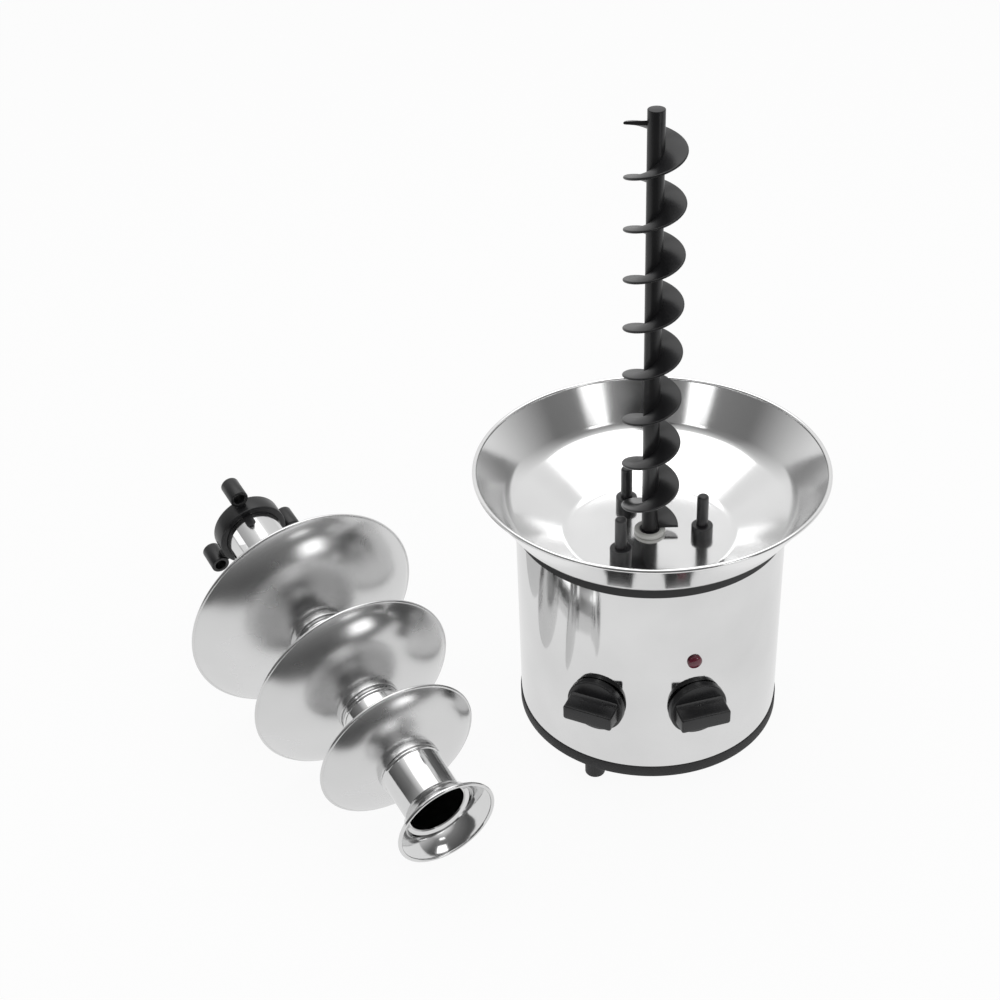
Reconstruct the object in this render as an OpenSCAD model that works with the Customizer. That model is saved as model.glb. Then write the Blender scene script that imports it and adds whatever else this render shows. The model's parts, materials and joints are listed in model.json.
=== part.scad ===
// Chocolate fountain: a heated base with a bowl and a driven auger, and the tiered tower that
// stands on the base's three posts in use. Here the tower is taken off and lies on the table
// beside the base, resting on the rims of its two larger canopies.
// Millimetres, +Z up. Origin on the base's axis at table level, knobs towards -Y.

/* [Base] */
// Outer radius of the body shell
shell_r = 92; // [80:0.5:110]
// Height of the body shell
shell_h = 152.7; // [140:0.1:190]
// Wall of the body shell
shell_t = 1; // [0.6:0.1:2]
// Height of the trim ring's underside above the table
foot_gap = 15; // [10:0.5:25]
// Height of the black trim ring
trim_h = 8.4; // [5:0.1:14]
// How far the trim ring stands proud of the shell
trim_proud = 0.7; // [0.5:0.1:2]
// Thickness of the trim ring's lip under the shell
trim_lip = 2; // [1:0.1:4]
// Thickness of the base plate
plate_t = 1.5; // [1:0.1:3]
// Radius of a foot at its top
foot_r = 7; // [5:0.1:9]
// Direction of the first foot
foot_angle = 4; // [0:1:119]

/* [Bowl] */
// Radius of the bowl over its rolled rim
rim_r = 120; // [112:0.5:150]
// Height of the flared wall
flare_h = 37.7; // [25:0.1:60]
// Depth of the dish below its crease
dish_depth = 18.8; // [14:0.1:28]
// Length of the crease's bend along the dish and along the flare
crease_bend = 13.3; // [6:0.1:16]
// Sheet thickness of the bowl
bowl_t = 1.2; // [0.8:0.1:2]
// Radius of the rolled rim's roll
rim_roll = 1.5; // [1:0.1:3]
// Radius of the flat floor
floor_r = 48; // [46:0.5:60]
// Height of the black gasket
gasket_h = 4.4; // [3:0.1:10]

/* [Posts] */
// Radius of the circle that the posts stand on
post_circle = 35.7; // [33:0.1:38]
// Turn of the posts about the axis
post_turn = -2.4; // [-30:0.1:30]
// Diameter of the shoulder
shoulder_d = 14.8; // [12:0.1:15.5]
// Height of the shoulder above the bowl's floor
shoulder_h = 8; // [5:0.1:14]
// Diameter of the locating pin
pin_d = 8; // [6:0.1:9]
// Length of the locating pin
pin_h = 23.7; // [16:0.1:36]
// Diameter of the stud through the bowl
stud_d = 5; // [4:0.1:6]

/* [Auger] */
// Diameter over the flight
auger_d = 39; // [30:0.1:39.2]
// Diameter of the auger's shaft
core_d = 11; // [10:0.1:14]
// Length of the auger
auger_h = 299.3; // [299:0.1:320]
// Pitch of the flight
auger_pitch = 34; // [25:0.1:34]
// Half turns of the flight
half_turns = 17; // [9:1:17]
// Bare shaft above the flight's top end
flight_drop = 8.7; // [6:0.1:15]
// Thickness of the flight at its tip
flight_tip = 1.8; // [1:0.1:3]
// Thickness of the flight at the shaft
flight_root = 3; // [2:0.1:5]

/* [Drive] */
// Diameter of the output shaft
shaft_d = 6; // [5:0.1:7]
// Running clearance of a shaft in its bore, on the radius
run_clear = 0.05; // [0.02:0.01:0.1]
// Length of the shaft's flatted tip
tip_l = 16; // [10:0.5:24]
// Diameter of the boss under the auger
boss_d = 13.4; // [11:0.1:16]
// Diameter of the pale washer round the boss
washer_d = 21.4; // [18:0.1:24]
// Thickness of the pale washer
washer_t = 3; // [2.5:0.1:5]
// Gear module
gear_m = 1; // [0.8:0.05:1.1]
// Teeth of the motor's pinion
pinion_teeth = 16; // [16:1:18]
// Teeth of the output gear
gear_teeth = 48; // [44:1:54]
// Width of the gears
gear_w = 8; // [5:0.5:12]
// Diameter of the motor's shaft
motor_shaft_d = 4; // [3:0.1:5]
// Radius of the motor can
motor_r = 20; // [15:0.5:22]
// Length of the motor can
motor_l = 50; // [35:1:56]
// Height of the bracket plate above the base plate
bracket_h = 69.5; // [66:0.5:80]
// Thickness of the bracket plate
bracket_t = 2; // [1.5:0.1:4]

/* [Controls] */
// Angle of each knob from the front
knob_angle = 21; // [16:0.1:30]
// Height of the knobs' axes
knob_z = 76; // [60:0.5:86]
// Diameter of a knob's round skirt
skirt_d = 40; // [38:0.5:44]
// Width of the bar across a knob
grip_w = 34.5; // [28:0.5:37]
// Height of the bar at its outer end
grip_h = 11; // [9:0.5:14]
// Reach of a knob from the shell
knob_reach = 19; // [17:0.5:26]
// Diameter of the knobs' spindles
spindle_d = 6; // [4:0.1:7]
// Angle of the lamp from the front
lamp_angle = 19.6; // [0:0.1:30]
// Height of the lamp
lamp_z = 114; // [104:0.5:140]
// Diameter of the lamp's lens
lens_d = 10; // [9:0.1:14]
// Height of the mains gland at the rear
gland_z = 42; // [34:0.5:60]
// Diameter of the gland's cable bore
gland_bore = 8; // [6:0.1:9]

/* [Tower] */
// Outer diameter of the lower tube
lower_od = 42.8; // [42.4:0.1:46]
// Wall of the tubes
tube_t = 0.8; // [0.6:0.05:1]
// Clearance of a tube's spigot in the tube below it, on the radius
spigot_clear = 0.08; // [0.05:0.01:0.1]
// Length of a spigot
spigot_l = 15; // [10:0.5:20]
// Radius of the rolled beads on the tubes
tube_bead = 1.5; // [1:0.1:2]
// Sheet thickness of the canopies
canopy_t = 1; // [0.7:0.1:1.5]
// Radius of the rolled edge of a canopy
canopy_roll = 1.2; // [1:0.1:2]
// Radius of the large canopy
large_r = 86; // [84:0.1:100]
// Radius of the medium canopy
medium_r = 73.5; // [66:0.1:76]
// Radius of the small canopy
small_r = 56.8; // [45:0.1:60]
// Rise of the large canopy
large_rise = 29; // [22:0.5:34]
// Rise of the medium canopy
medium_rise = 24; // [18:0.5:30]
// Rise of the small canopy
small_rise = 16; // [12:0.5:22]
// Height of the large canopy's edge above the sockets' mouths
large_at = 113; // [104:0.5:122]
// Height from the large canopy's edge to the medium canopy's edge
medium_step = 80; // [74:0.5:90]
// Height from the medium canopy's edge to the small canopy's edge
small_step = 67; // [62:0.5:80]
// Height from the small canopy's edge to the crown's lip
crown_step = 70; // [64:0.5:90]
// Radius of the crown's lip
crown_r = 35; // [30:0.1:45]
// Height of the crown cup
crown_h = 17; // [15:0.5:24]
// Length of a collar socket
socket_l = 19; // [14:0.5:24]
// Clearance of a socket round its pin, on the radius
socket_clear = 0.2; // [0.1:0.05:0.4]
// Wall of a socket
socket_t = 2.7; // [1.5:0.1:3]
// Height of the collar ring
ring_h = 14; // [8:0.5:16]
// Wall of the collar ring
ring_t = 5; // [3:0.1:6]

/* [Tower on the table] */
// Plan position of the sockets' end of the tower's axis, to the right
tower_x = -312.6; // [-340:0.1:-290]
// Plan position of the sockets' end of the tower's axis, to the back
tower_y = 86.9; // [60:0.1:130]
// Plan angle of the tower's axis from -Y towards +X
tower_heading = 35; // [20:0.5:45]
// Turn of the collar's first socket about the tower's axis
tower_spin = 101.6; // [0:0.1:119]

/* [Hidden] */
$fn = 64;
eps = 0.02;
touch = 0.05;

// Heights of the base, from the table up
shell_z0 = foot_gap + trim_lip;
shell_z1 = shell_z0 + shell_h;
plate_z1 = shell_z0 + plate_t;
shell_in = shell_r - shell_t;
lip_in = shell_in - 1.5;
foot_inset = 1.5;
foot_at = lip_in - foot_r - foot_inset;
terminal_at = foot_at - 15;
crease_z = shell_z1 + gasket_h;
crease_r = shell_r + 0.5;
rim_z = crease_z + flare_h;
floor_under = crease_z - dish_depth;
floor_z = floor_under + bowl_t;

// Posts, boss and drive along the base's axis
shoulder_z = floor_z + shoulder_h;
washer_z = floor_z + washer_t;
auger_z0 = washer_z + 0.3;
tip_d = shaft_d - 0.6;
tip_flat = tip_d * 0.3;
bush_r = boss_d / 2;
neck_r = bush_r - 0.8;
bracket_z0 = plate_z1 + bracket_h;
bracket_z1 = bracket_z0 + bracket_t;
gear_z0 = bracket_z1 + 3;
gear_z1 = gear_z0 + gear_w;
motor_y = gear_m * (pinion_teeth + gear_teeth) / 2;
cover_r = motor_y / 2 + gear_m * (gear_teeth + pinion_teeth + 4) / 4 + 3.5;
cover_y = motor_y / 2 - gear_m * (gear_teeth - pinion_teeth) / 4;
cover_t = 2;
cover_z1 = gear_z1 + 2 + cover_t;
flange_r = cover_r + 5;
bracket_r = flange_r + cover_y + 9;
pillar_at = bracket_r - 6;
pillar_r = 4;
heater_t = 5;
heater_z = floor_under - heater_t;
element_r = 3;
nut_h = 4;
bush_nut_r = 11;
element_at = (bush_nut_r + post_circle) / 2 + 1;

// Tower: heights along its own axis, from the sockets' mouths
medium_at = large_at + medium_step;
small_at = medium_at + small_step;
lip_at = small_at + crown_step;
crown_at = lip_at - crown_h;
lower_r = lower_od / 2;
lower_in = lower_r - tube_t;
inner_r = lower_in;
inner_in = inner_r - tube_t;
hub_clear = 0.1;
hub_t = 1.2;
hub_drop = 3;
hub_up = 3;
large_hub = large_at + large_rise;
medium_hub = medium_at + medium_rise;
small_hub = small_at + small_rise;
lower_top = large_hub + hub_up + 2;
middle_top = medium_hub + hub_up + 2;
ring_at = socket_l / 2;
socket_in = pin_d / 2 + socket_clear;
socket_r = socket_in + socket_t;
tower_tilt = atan((large_r - medium_r) / medium_step);
tower_z = (large_r - canopy_roll) * cos(tower_tilt) + canopy_roll + large_at * sin(tower_tilt);

// Plain helpers
module ring(r_out, r_in, h) {
    difference() {
        cylinder(r = r_out, h = h);
        translate([0, 0, -1]) cylinder(r = r_in, h = h + 2);
    }
}

module hex_nut(across_r, bore_r, h) {
    difference() {
        cylinder(r = across_r, h = h, $fn = 6);
        translate([0, 0, -1]) cylinder(r = bore_r, h = h + 2);
    }
}

// A screw with its head above z = 0 and its shank below
module screw(head_r, head_h, shank_r, shank_l) {
    difference() {
        cylinder(r = head_r, h = head_h);
        translate([-head_r, -0.5, head_h * 0.6]) cube([2 * head_r, 1, head_h]);
    }
    translate([0, 0, -shank_l]) cylinder(r = shank_r, h = shank_l + eps);
}

// Places its children on the shell: +Z outwards, +Y up, at an angle from the front
module on_panel(angle, z) {
    rotate([0, 0, angle]) translate([0, -shell_r, z]) rotate([90, 0, 0]) children();
}

// Depth of the shell's inner face below the panel point, x away from it
function panel_in(x) = sqrt(shell_in * shell_in - x * x) - shell_r;

// Places its children in the tower's own frame
module on_tower() {
    translate([tower_x, tower_y, tower_z]) rotate([90 + tower_tilt, 0, tower_heading]) children();
}

// Points of an open outline moved to its left by d
function left_of(a, b) = [a.y - b.y, b.x - a.x] / norm(b - a);
function moved(p, i, d) = let (
    n = len(p),
    m1 = i > 0 ? left_of(p[i - 1], p[i]) : left_of(p[0], p[1]),
    m2 = i < n - 1 ? left_of(p[i], p[i + 1]) : m1,
    s = m1 + m2) p[i] + s * d * 2 / (s * s);
function outset(p, d) = [for (i = [0:len(p) - 1]) moved(p, i, d)];
function flip(p) = [for (i = [len(p) - 1:-1:0]) p[i]];
function curve(a, b, c, n) = [for (i = [0:n]) let (t = i / n)
    a * (1 - t) * (1 - t) + b * 2 * t * (1 - t) + c * t * t];

// Base
module body_shell() {
    color("gainsboro") difference() {
        translate([0, 0, shell_z0]) ring(shell_r, shell_in, shell_h);
        for (a = [-knob_angle, knob_angle]) on_panel(a, knob_z) {
            translate([0, 0, -10]) cylinder(r = neck_out + 0.2, h = 20);
            for (s = [-1, 1]) translate([0, s * switch_screw_y, -10]) cylinder(r = 1.5 + touch, h = 20);
        }
        on_panel(lamp_angle, lamp_z) translate([0, 0, -10]) cylinder(r = lamp_stem + 0.2, h = 20);
        on_panel(180, gland_z) translate([0, 0, -10]) cylinder(r = gland_neck + 0.2, h = 20);
    }
}

module bottom_trim_ring() {
    color("dimgray") translate([0, 0, foot_gap]) rotate_extrude() polygon([
        [lip_in, 0], [shell_r + trim_proud - 0.4, 0], [shell_r + trim_proud, 0.4],
        [shell_r + trim_proud, trim_h], [shell_r + touch, trim_h], [shell_r + touch, trim_lip],
        [lip_in, trim_lip]]);
}

module base_plate() {
    color("silver") difference() {
        translate([0, 0, shell_z0]) cylinder(r = shell_in - touch, h = plate_t);
        at_feet() translate([0, 0, -1]) cylinder(r = foot_neck_r + touch, h = shell_z0 + plate_t + 2);
        for (a = [0:30:330]) rotate([0, 0, a]) translate([26, -1.5, 0]) cube([20, 3, plate_z1 + 1]);
    }
}

foot_neck_r = 3;
foot_head_r = 4.4;
foot_head_h = 3;
module at_foot(i) {
    rotate([0, 0, foot_angle + 120 * i]) translate([foot_at, 0, 0]) children();
}

module at_feet() {
    for (i = [0:2]) at_foot(i) children();
}

// A rubber foot, pushed through the base plate and held by its tapered head
module foot(i) {
    color("black") at_foot(i) union() {
        cylinder(r = foot_r, h = shell_z0);
        cylinder(r = foot_neck_r, h = plate_z1 + eps);
        translate([0, 0, plate_z1]) cylinder(r1 = foot_head_r, r2 = foot_neck_r, h = foot_head_h);
    }
}

// Bowl
dish_start = [floor_r, floor_under];
crease = [crease_r, crease_z];
flare_end = [rim_r - rim_roll + bowl_t / 2, rim_z - rim_roll];
function towards(a, b, d) = a + (b - a) * d / norm(b - a);
bowl_outline = concat([[0, floor_under], dish_start],
    curve(towards(crease, dish_start, crease_bend), crease, towards(crease, flare_end, crease_bend), 10),
    [flare_end]);

module bowl() {
    color("lightgray") difference() {
        rotate_extrude() {
            polygon(concat(bowl_outline, flip([for (p = outset(bowl_outline, bowl_t))
                [max(p.x, 0), p.y]])));
            translate([rim_r - rim_roll, rim_z - rim_roll]) circle(r = rim_roll);
        }
        translate([0, 0, floor_under - 1]) cylinder(r = neck_r + touch, h = bowl_t + 2);
        at_posts() translate([0, 0, floor_under - 1]) cylinder(r = stud_d / 2 + 0.2, h = bowl_t + 2);
    }
}

// Black ring on the shell's top edge, its upper face shaped to the bowl's underside
module bowl_gasket() {
    gasket_in = shell_in - 2;
    gasket_out = crease_r + 0.7;
    above = concat(outset(bowl_outline, -touch), [[rim_r, 2 * rim_z], [0, 2 * rim_z]]);
    color("black") rotate_extrude() difference() {
        translate([gasket_in, shell_z1]) square([gasket_out - gasket_in, 2 * gasket_h]);
        polygon(above);
    }
}

// Posts
module at_post(i) {
    rotate([0, 0, post_turn + 120 * i]) translate([post_circle, 0, 0]) children();
}

module at_posts() {
    for (i = [0:2]) at_post(i) children();
}

stud_end = heater_z - nut_h - 2;
module support_post(i) {
    pin_r = pin_d / 2;
    pin_top = shoulder_z + pin_h;
    color("black") at_post(i) rotate_extrude() polygon(concat(
        [[0, stud_end], [stud_d / 2, stud_end], [stud_d / 2, floor_z], [shoulder_d / 2, floor_z],
            [shoulder_d / 2, shoulder_z - 0.8], [shoulder_d / 2 - 0.8, shoulder_z], [pin_r, shoulder_z]],
        [for (a = [0:15:90]) [pin_r - 2 + 2 * cos(a), pin_top - 2 + 2 * sin(a)]], [[0, pin_top]]));
}

module post_nuts() {
    color("silver") at_posts() translate([0, 0, heater_z - nut_h])
        hex_nut(stud_d * 0.92, stud_d / 2 + touch, nut_h);
}

// Shaft support in the bowl
module shaft_bush() {
    bottom = floor_under - 8;
    color("black") difference() {
        union() {
            translate([0, 0, bottom]) cylinder(r = neck_r, h = floor_z - bottom + eps);
            translate([0, 0, floor_z]) cylinder(r = bush_r, h = washer_t);
        }
        translate([0, 0, bottom - 1]) cylinder(r = shaft_d / 2 + run_clear, h = washer_z - bottom + 2);
        translate([0, 0, washer_z - seal_h]) cylinder(r = seal_r + touch, h = seal_h + 1);
    }
}

module bush_nut() {
    color("silver") translate([0, 0, floor_under - nut_h]) hex_nut(bush_nut_r, neck_r + touch, nut_h);
}

seal_h = 2;
seal_r = neck_r - 1.2;
module shaft_seal() {
    color("saddlebrown") translate([0, 0, washer_z - seal_h])
        ring(seal_r, shaft_d / 2 + run_clear, seal_h);
}

module thrust_washer() {
    color("lightgray") translate([0, 0, floor_z]) ring(washer_d / 2, bush_r + touch, washer_t);
}

// Heating under the bowl's floor
module heater_plate() {
    color("silver") translate([0, 0, heater_z]) difference() {
        ring(floor_r - 3, bush_nut_r + 2, heater_t);
        at_posts() translate([0, 0, -1]) cylinder(r = stud_d / 2 + 0.2, h = heater_t + 2);
    }
}

module heater_element() {
    color("gray") translate([0, 0, heater_z - element_r]) rotate_extrude()
        translate([element_at, 0]) circle(r = element_r);
}

cutout_r = 7;
module thermal_cutout() {
    color("tan") rotate([0, 0, post_turn + 60]) translate([post_circle, 0, heater_z - 6]) {
        cylinder(r = cutout_r, h = 6);
        for (s = [-1, 1]) translate([s * 3.5 - 1.5, -0.4, -7]) cube([3, 0.8, 7 + eps]);
    }
}

// Motor and gears
module at_pillars() {
    for (a = [30, 150, 270]) rotate([0, 0, a]) translate([pillar_at, 0, 0]) children();
}

motor_nose = 6;
motor_screw_x = motor_r - 6;
lower_neck = shaft_d / 2 + 2;
module bracket_plate() {
    color("silver") translate([0, 0, bracket_z0]) difference() {
        cylinder(r = bracket_r, h = bracket_t);
        translate([0, 0, -1]) cylinder(r = lower_neck + touch, h = bracket_t + 2);
        translate([0, motor_y, -1]) cylinder(r = motor_nose + 0.2, h = bracket_t + 2);
        at_pillars() translate([0, 0, -1]) cylinder(r = 2 + touch, h = bracket_t + 2);
        at_motor_screws() translate([0, 0, -1]) cylinder(r = 1.5 + touch, h = bracket_t + 2);
        at_cover_screws() translate([0, 0, -1]) cylinder(r = 1.5 + touch, h = bracket_t + 2);
    }
}

pillar_screw_r = 2;
pillar_thread = 10;
module bracket_pillars() {
    color("silver") at_pillars() translate([0, 0, plate_z1]) difference() {
        cylinder(r = pillar_r, h = bracket_h);
        translate([0, 0, bracket_h - pillar_thread])
            cylinder(r = pillar_screw_r + touch, h = pillar_thread + 1);
    }
}

module pillar_screws() {
    color("gray") at_pillars() translate([0, 0, bracket_z1])
        screw(3.6, 2.4, pillar_screw_r, bracket_t + pillar_thread - 3);
}

module lower_bush() {
    color("darkgoldenrod") difference() {
        union() {
            translate([0, 0, bracket_z0 - 4]) cylinder(r = lower_neck, h = bracket_t + 4 + eps);
            translate([0, 0, bracket_z1]) cylinder(r = lower_neck + 3, h = gear_z0 - 0.3 - bracket_z1);
        }
        translate([0, 0, bracket_z0 - 5]) cylinder(r = shaft_d / 2 + run_clear, h = gear_z0 - bracket_z0 + 6);
    }
}

module at_cover_screws() {
    for (a = [30, 150, 270]) translate([0, cover_y, 0]) rotate([0, 0, a])
        translate([cover_r + 2.6, 0, 0]) children();
}

module gear_cover() {
    color("dimgray") difference() {
        translate([0, cover_y, bracket_z1]) union() {
            cylinder(r = cover_r, h = cover_z1 - bracket_z1);
            cylinder(r = flange_r, h = 2);
        }
        translate([0, cover_y, bracket_z1 - 1])
            cylinder(r = cover_r - cover_t, h = cover_z1 - cover_t - bracket_z1 + 1);
        translate([0, 0, cover_z1 - 5]) cylinder(r = shaft_d / 2 + run_clear, h = 8);
        at_cover_screws() translate([0, 0, bracket_z1 - 1]) cylinder(r = 1.5 + touch, h = 4);
    }
}

module gear_cover_screws() {
    color("gray") at_cover_screws() translate([0, 0, bracket_z1 + 2]) screw(2.4, 1.8, 1.5, bracket_t + 4);
}

module at_motor_screws() {
    for (s = [-1, 1]) translate([s * motor_screw_x, motor_y, 0]) children();
}

module motor_can() {
    color("darkgray") translate([0, motor_y, bracket_z0 - motor_l]) difference() {
        union() {
            cylinder(r = motor_r, h = motor_l);
            cylinder(r = motor_nose, h = motor_l + bracket_t - 0.2);
        }
        translate([0, 0, 6]) cylinder(r = motor_shaft_d / 2 + run_clear, h = motor_l);
        for (s = [-1, 1]) translate([s * motor_screw_x, 0, motor_l - 8]) cylinder(r = 1.5 + touch, h = 9);
    }
}

module motor_screws() {
    color("gray") at_motor_screws() translate([0, 0, bracket_z1]) screw(2.6, 1.8, 1.5, bracket_t + 6);
}

// Involute gear outline with its first tooth on +X
backlash = 0.16;
function inv(a) = tan(a) * 180 / PI - a;
function half_tooth(teeth, rho) = let (r = gear_m * teeth / 2, rb = r * cos(20))
    (90 - backlash * 90 / (PI * gear_m)) / teeth + inv(20) - inv(acos(min(1, rb / rho)));
function tooth(teeth, i) = let (
    r = gear_m * teeth / 2,
    low = max(r * cos(20), r - gear_m),
    high = r + 0.9 * gear_m,
    root = r - 1.25 * gear_m,
    mid = 360 * i / teeth,
    flank = [for (k = [0:3]) low + (high - low) * k / 3])
    concat([[root, mid - half_tooth(teeth, low)]], [for (q = flank) [q, mid - half_tooth(teeth, q)]],
        [for (q = flip(flank)) [q, mid + half_tooth(teeth, q)]], [[root, mid + half_tooth(teeth, low)]]);

module gear(teeth, bore_r) {
    points = [for (i = [0:teeth - 1]) each tooth(teeth, i)];
    difference() {
        linear_extrude(gear_w) polygon([for (p = points) [p.x * cos(p.y), p.x * sin(p.y)]]);
        translate([0, 0, -1]) cylinder(r = bore_r, h = gear_w + 2);
    }
}

module output_gear() {
    color("ivory") translate([0, 0, gear_z0]) rotate([0, 0, 90]) gear(gear_teeth, shaft_d / 2 + touch);
}

module motor_pinion() {
    color("darkgoldenrod") translate([0, motor_y, gear_z0]) rotate([0, 0, 270 + 180 / pinion_teeth])
        gear(pinion_teeth, motor_shaft_d / 2 + touch);
}

module output_shaft() {
    bottom = bracket_z0 - 3;
    color("silver") {
        translate([0, 0, bottom]) cylinder(r = shaft_d / 2, h = washer_z - bottom);
        translate([0, 0, washer_z - eps]) difference() {
            cylinder(r = tip_d / 2, h = tip_l);
            translate([tip_d / 2 - tip_flat, -tip_d, -1]) cube([tip_d, 2 * tip_d, tip_l + 2]);
        }
    }
}

module motor_shaft() {
    bottom = bracket_z0 - motor_l + 6.3;
    color("silver") translate([0, motor_y, bottom])
        cylinder(r = motor_shaft_d / 2, h = gear_z1 + 0.5 - bottom);
}

// Auger: one moulding, its flight a right-handed helix that starts on +X at the bottom
turn_steps = 24;
flight_steps = half_turns * turn_steps / 2;
auger_top = auger_z0 + auger_h;
flight_z1 = auger_top - flight_drop;
flight_z0 = flight_z1 - half_turns / 2 * auger_pitch;
function around(r, k, z) = [r * cos(360 * k / turn_steps), r * sin(360 * k / turn_steps), z];
function flight_at(k) = let (z = flight_z0 + auger_pitch * k / turn_steps, r = auger_d / 2, c = core_d / 2) [
    around(c, k, z - flight_root / 2),
    around(r - 0.8, k, z - flight_tip / 2),
    around(r, k, z - flight_tip / 6),
    around(r, k, z + flight_tip / 6),
    around(r - 0.8, k, z + flight_tip / 2),
    around(c, k, z + flight_root / 2)];

module auger_solid() {
    n = flight_steps;
    t = turn_steps;
    low = 6 * (n + 1);
    high = low + t;
    points = concat([for (k = [0:n]) each flight_at(k)],
        [for (k = [0:t - 1]) around(core_d / 2, k, auger_z0)],
        [for (k = [0:t - 1]) around(core_d / 2, k, auger_top)]);
    last = n % t;
    flight = [for (k = [0:n - 1], j = [0:4]) each [[6 * k + j, 6 * k + j + 1, 6 * k + j + 7],
        [6 * k + j, 6 * k + j + 7, 6 * k + j + 6]]];
    between = [for (k = [0:n - t - 1]) each [[6 * k + 5, 6 * (k + t), 6 * (k + t + 1)],
        [6 * k + 5, 6 * (k + t + 1), 6 * k + 11]]];
    below = [for (k = [0:t - 2]) [low + k, 6 * k, 6 * (k + 1), low + k + 1]];
    above = [for (k = [n - t + 1:n - 1]) [6 * k + 5, high + k % t, high + (k + 1) % t, 6 * k + 11]];
    first_gap = [low + t - 1, 6 * (t - 1), 6 * t, 5, 0, low];
    last_gap = [6 * (n - t) + 5, 6 * n, 6 * n + 5, high + last, high + (last + 1) % t, 6 * (n - t + 1) + 5];
    start_cap = [0, 5, 4, 3, 2, 1];
    end_cap = [for (j = [0:5]) 6 * n + j];
    floor_cap = [for (k = [0:t - 1]) low + k];
    top_cap = [for (k = [t - 1:-1:0]) high + k];
    polyhedron(points, concat(flight, between, below, above,
        [start_cap, end_cap, first_gap, last_gap, floor_cap, top_cap]), convexity = 30);
}

module auger() {
    socket_clearance = 0.1;
    color("black") difference() {
        auger_solid();
        translate([0, 0, auger_z0 - 1]) difference() {
            cylinder(r = tip_d / 2 + socket_clearance, h = tip_l + 2);
            translate([tip_d / 2 - tip_flat + socket_clearance, -tip_d, -1])
                cube([tip_d, 2 * tip_d, tip_l + 4]);
        }
    }
}

// Controls
neck_out = spindle_d / 2 + 1.5;
switch_screw_y = neck_out + 2.6;
switch_w = 26;
switch_depth = 22;
switch_front = panel_in(switch_w / 2) - 0.1;
spindle_in = switch_front - 16;
knob_back = 0.5;
screw_head_h = 1.6;
spindle_short = 8;
module switch_body(angle) {
    on_panel(angle, knob_z) difference() {
        union() {
            translate([-switch_w / 2, -switch_w / 2, switch_front - switch_depth])
                cube([switch_w, switch_w, switch_depth]);
            translate([0, 0, switch_front - 1]) cylinder(r = neck_out, h = 1 - switch_front - 0.1);
        }
        translate([0, 0, spindle_in - 0.3]) cylinder(r = spindle_d / 2 + run_clear, h = 40);
        for (s = [-1, 1]) translate([0, s * switch_screw_y, switch_front - 8])
            cylinder(r = 1.5 + touch, h = 20);
    }
}

module motor_switch() {
    color("whitesmoke") switch_body(-knob_angle);
}

module heat_thermostat() {
    color("tan") switch_body(knob_angle);
}

module switch_screws() {
    color("gray") for (a = [-knob_angle, knob_angle], s = [-1, 1]) on_panel(a, knob_z)
        translate([0, s * switch_screw_y, touch]) screw(2.2, screw_head_h, 1.5, 8);
}

module spindle(angle) {
    color("silver") on_panel(angle, knob_z) translate([0, 0, spindle_in])
        cylinder(r = spindle_d / 2, h = knob_reach - spindle_short - spindle_in);
}

module motor_spindle() {
    spindle(-knob_angle);
}

module heat_spindle() {
    spindle(knob_angle);
}

// A knob: a round skirt with a bar across it that is hollowed for the fingers
skirt_t = 5;
knob_edge = 1;
bar_flare = 3;
module knob(angle) {
    root = knob_back + skirt_t;
    upper = curve([root - knob_edge, grip_h / 2 + bar_flare], [root + 2, grip_h / 2],
        [knob_reach - knob_edge, grip_h / 2], 6);
    side = concat(upper, [[knob_reach, grip_h / 2 - knob_edge]]);
    end = [[root - knob_edge, grip_w / 2], [knob_reach - knob_edge, grip_w / 2],
        [knob_reach, grip_w / 2 - knob_edge]];
    color("black") on_panel(angle, knob_z) difference() {
        union() {
            translate([0, 0, knob_back]) rotate_extrude() polygon([[0, 0], [skirt_d / 2, 0],
                [skirt_d / 2, skirt_t - knob_edge], [skirt_d / 2 - knob_edge, skirt_t], [0, skirt_t]]);
            intersection() {
                rotate([0, -90, 0]) linear_extrude(2 * grip_w, center = true)
                    polygon(concat(side, flip([for (p = side) [p.x, -p.y]])));
                rotate([90, 0, 0]) linear_extrude(2 * skirt_d, center = true)
                    polygon(concat([for (p = end) [p.y, p.x]], flip([for (p = end) [-p.y, p.x]])));
            }
        }
        translate([0, 0, -1]) cylinder(r = switch_screw_y + 2.4, h = 1 + screw_head_h + touch + 0.6);
        cylinder(r = spindle_d / 2 + touch, h = knob_reach - spindle_short + 0.2);
    }
}

module motor_knob() {
    knob(-knob_angle);
}

module heat_knob() {
    knob(knob_angle);
}

lamp_stem = lens_d / 2 - 1.2;
lamp_back = 6;
module lamp_lens() {
    color("darkred") on_panel(lamp_angle, lamp_z) rotate_extrude() polygon(concat(
        [[0, -lamp_back], [lamp_stem, -lamp_back], [lamp_stem, touch], [lens_d / 2, touch]],
        [for (a = [0:15:75]) [lens_d / 2 * cos(a), 1 + 2 * sin(a)]], [[0, 3]]));
}

module lamp_body() {
    color("whitesmoke") on_panel(lamp_angle, lamp_z) translate([0, 0, -lamp_back - 14])
        cylinder(r = lamp_stem + 1, h = 14);
}

module lamp_nut() {
    nut_r = lamp_stem + 3;
    color("silver") on_panel(lamp_angle, lamp_z) translate([0, 0, panel_in(nut_r) - 2.5 - touch])
        hex_nut(nut_r, lamp_stem + touch, 2.5);
}

gland_neck = gland_bore / 2 + 2.8;
module cord_gland() {
    color("black") on_panel(180, gland_z) difference() {
        union() {
            translate([0, 0, -14]) cylinder(r = gland_neck, h = 14 + touch + eps);
            translate([0, 0, touch]) cylinder(r = gland_neck + 3.2, h = 3);
            translate([0, 0, 3]) cylinder(r1 = gland_neck + 1.6, r2 = gland_neck, h = 5);
        }
        translate([0, 0, -15]) cylinder(r = gland_bore / 2, h = 30);
    }
}

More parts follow.
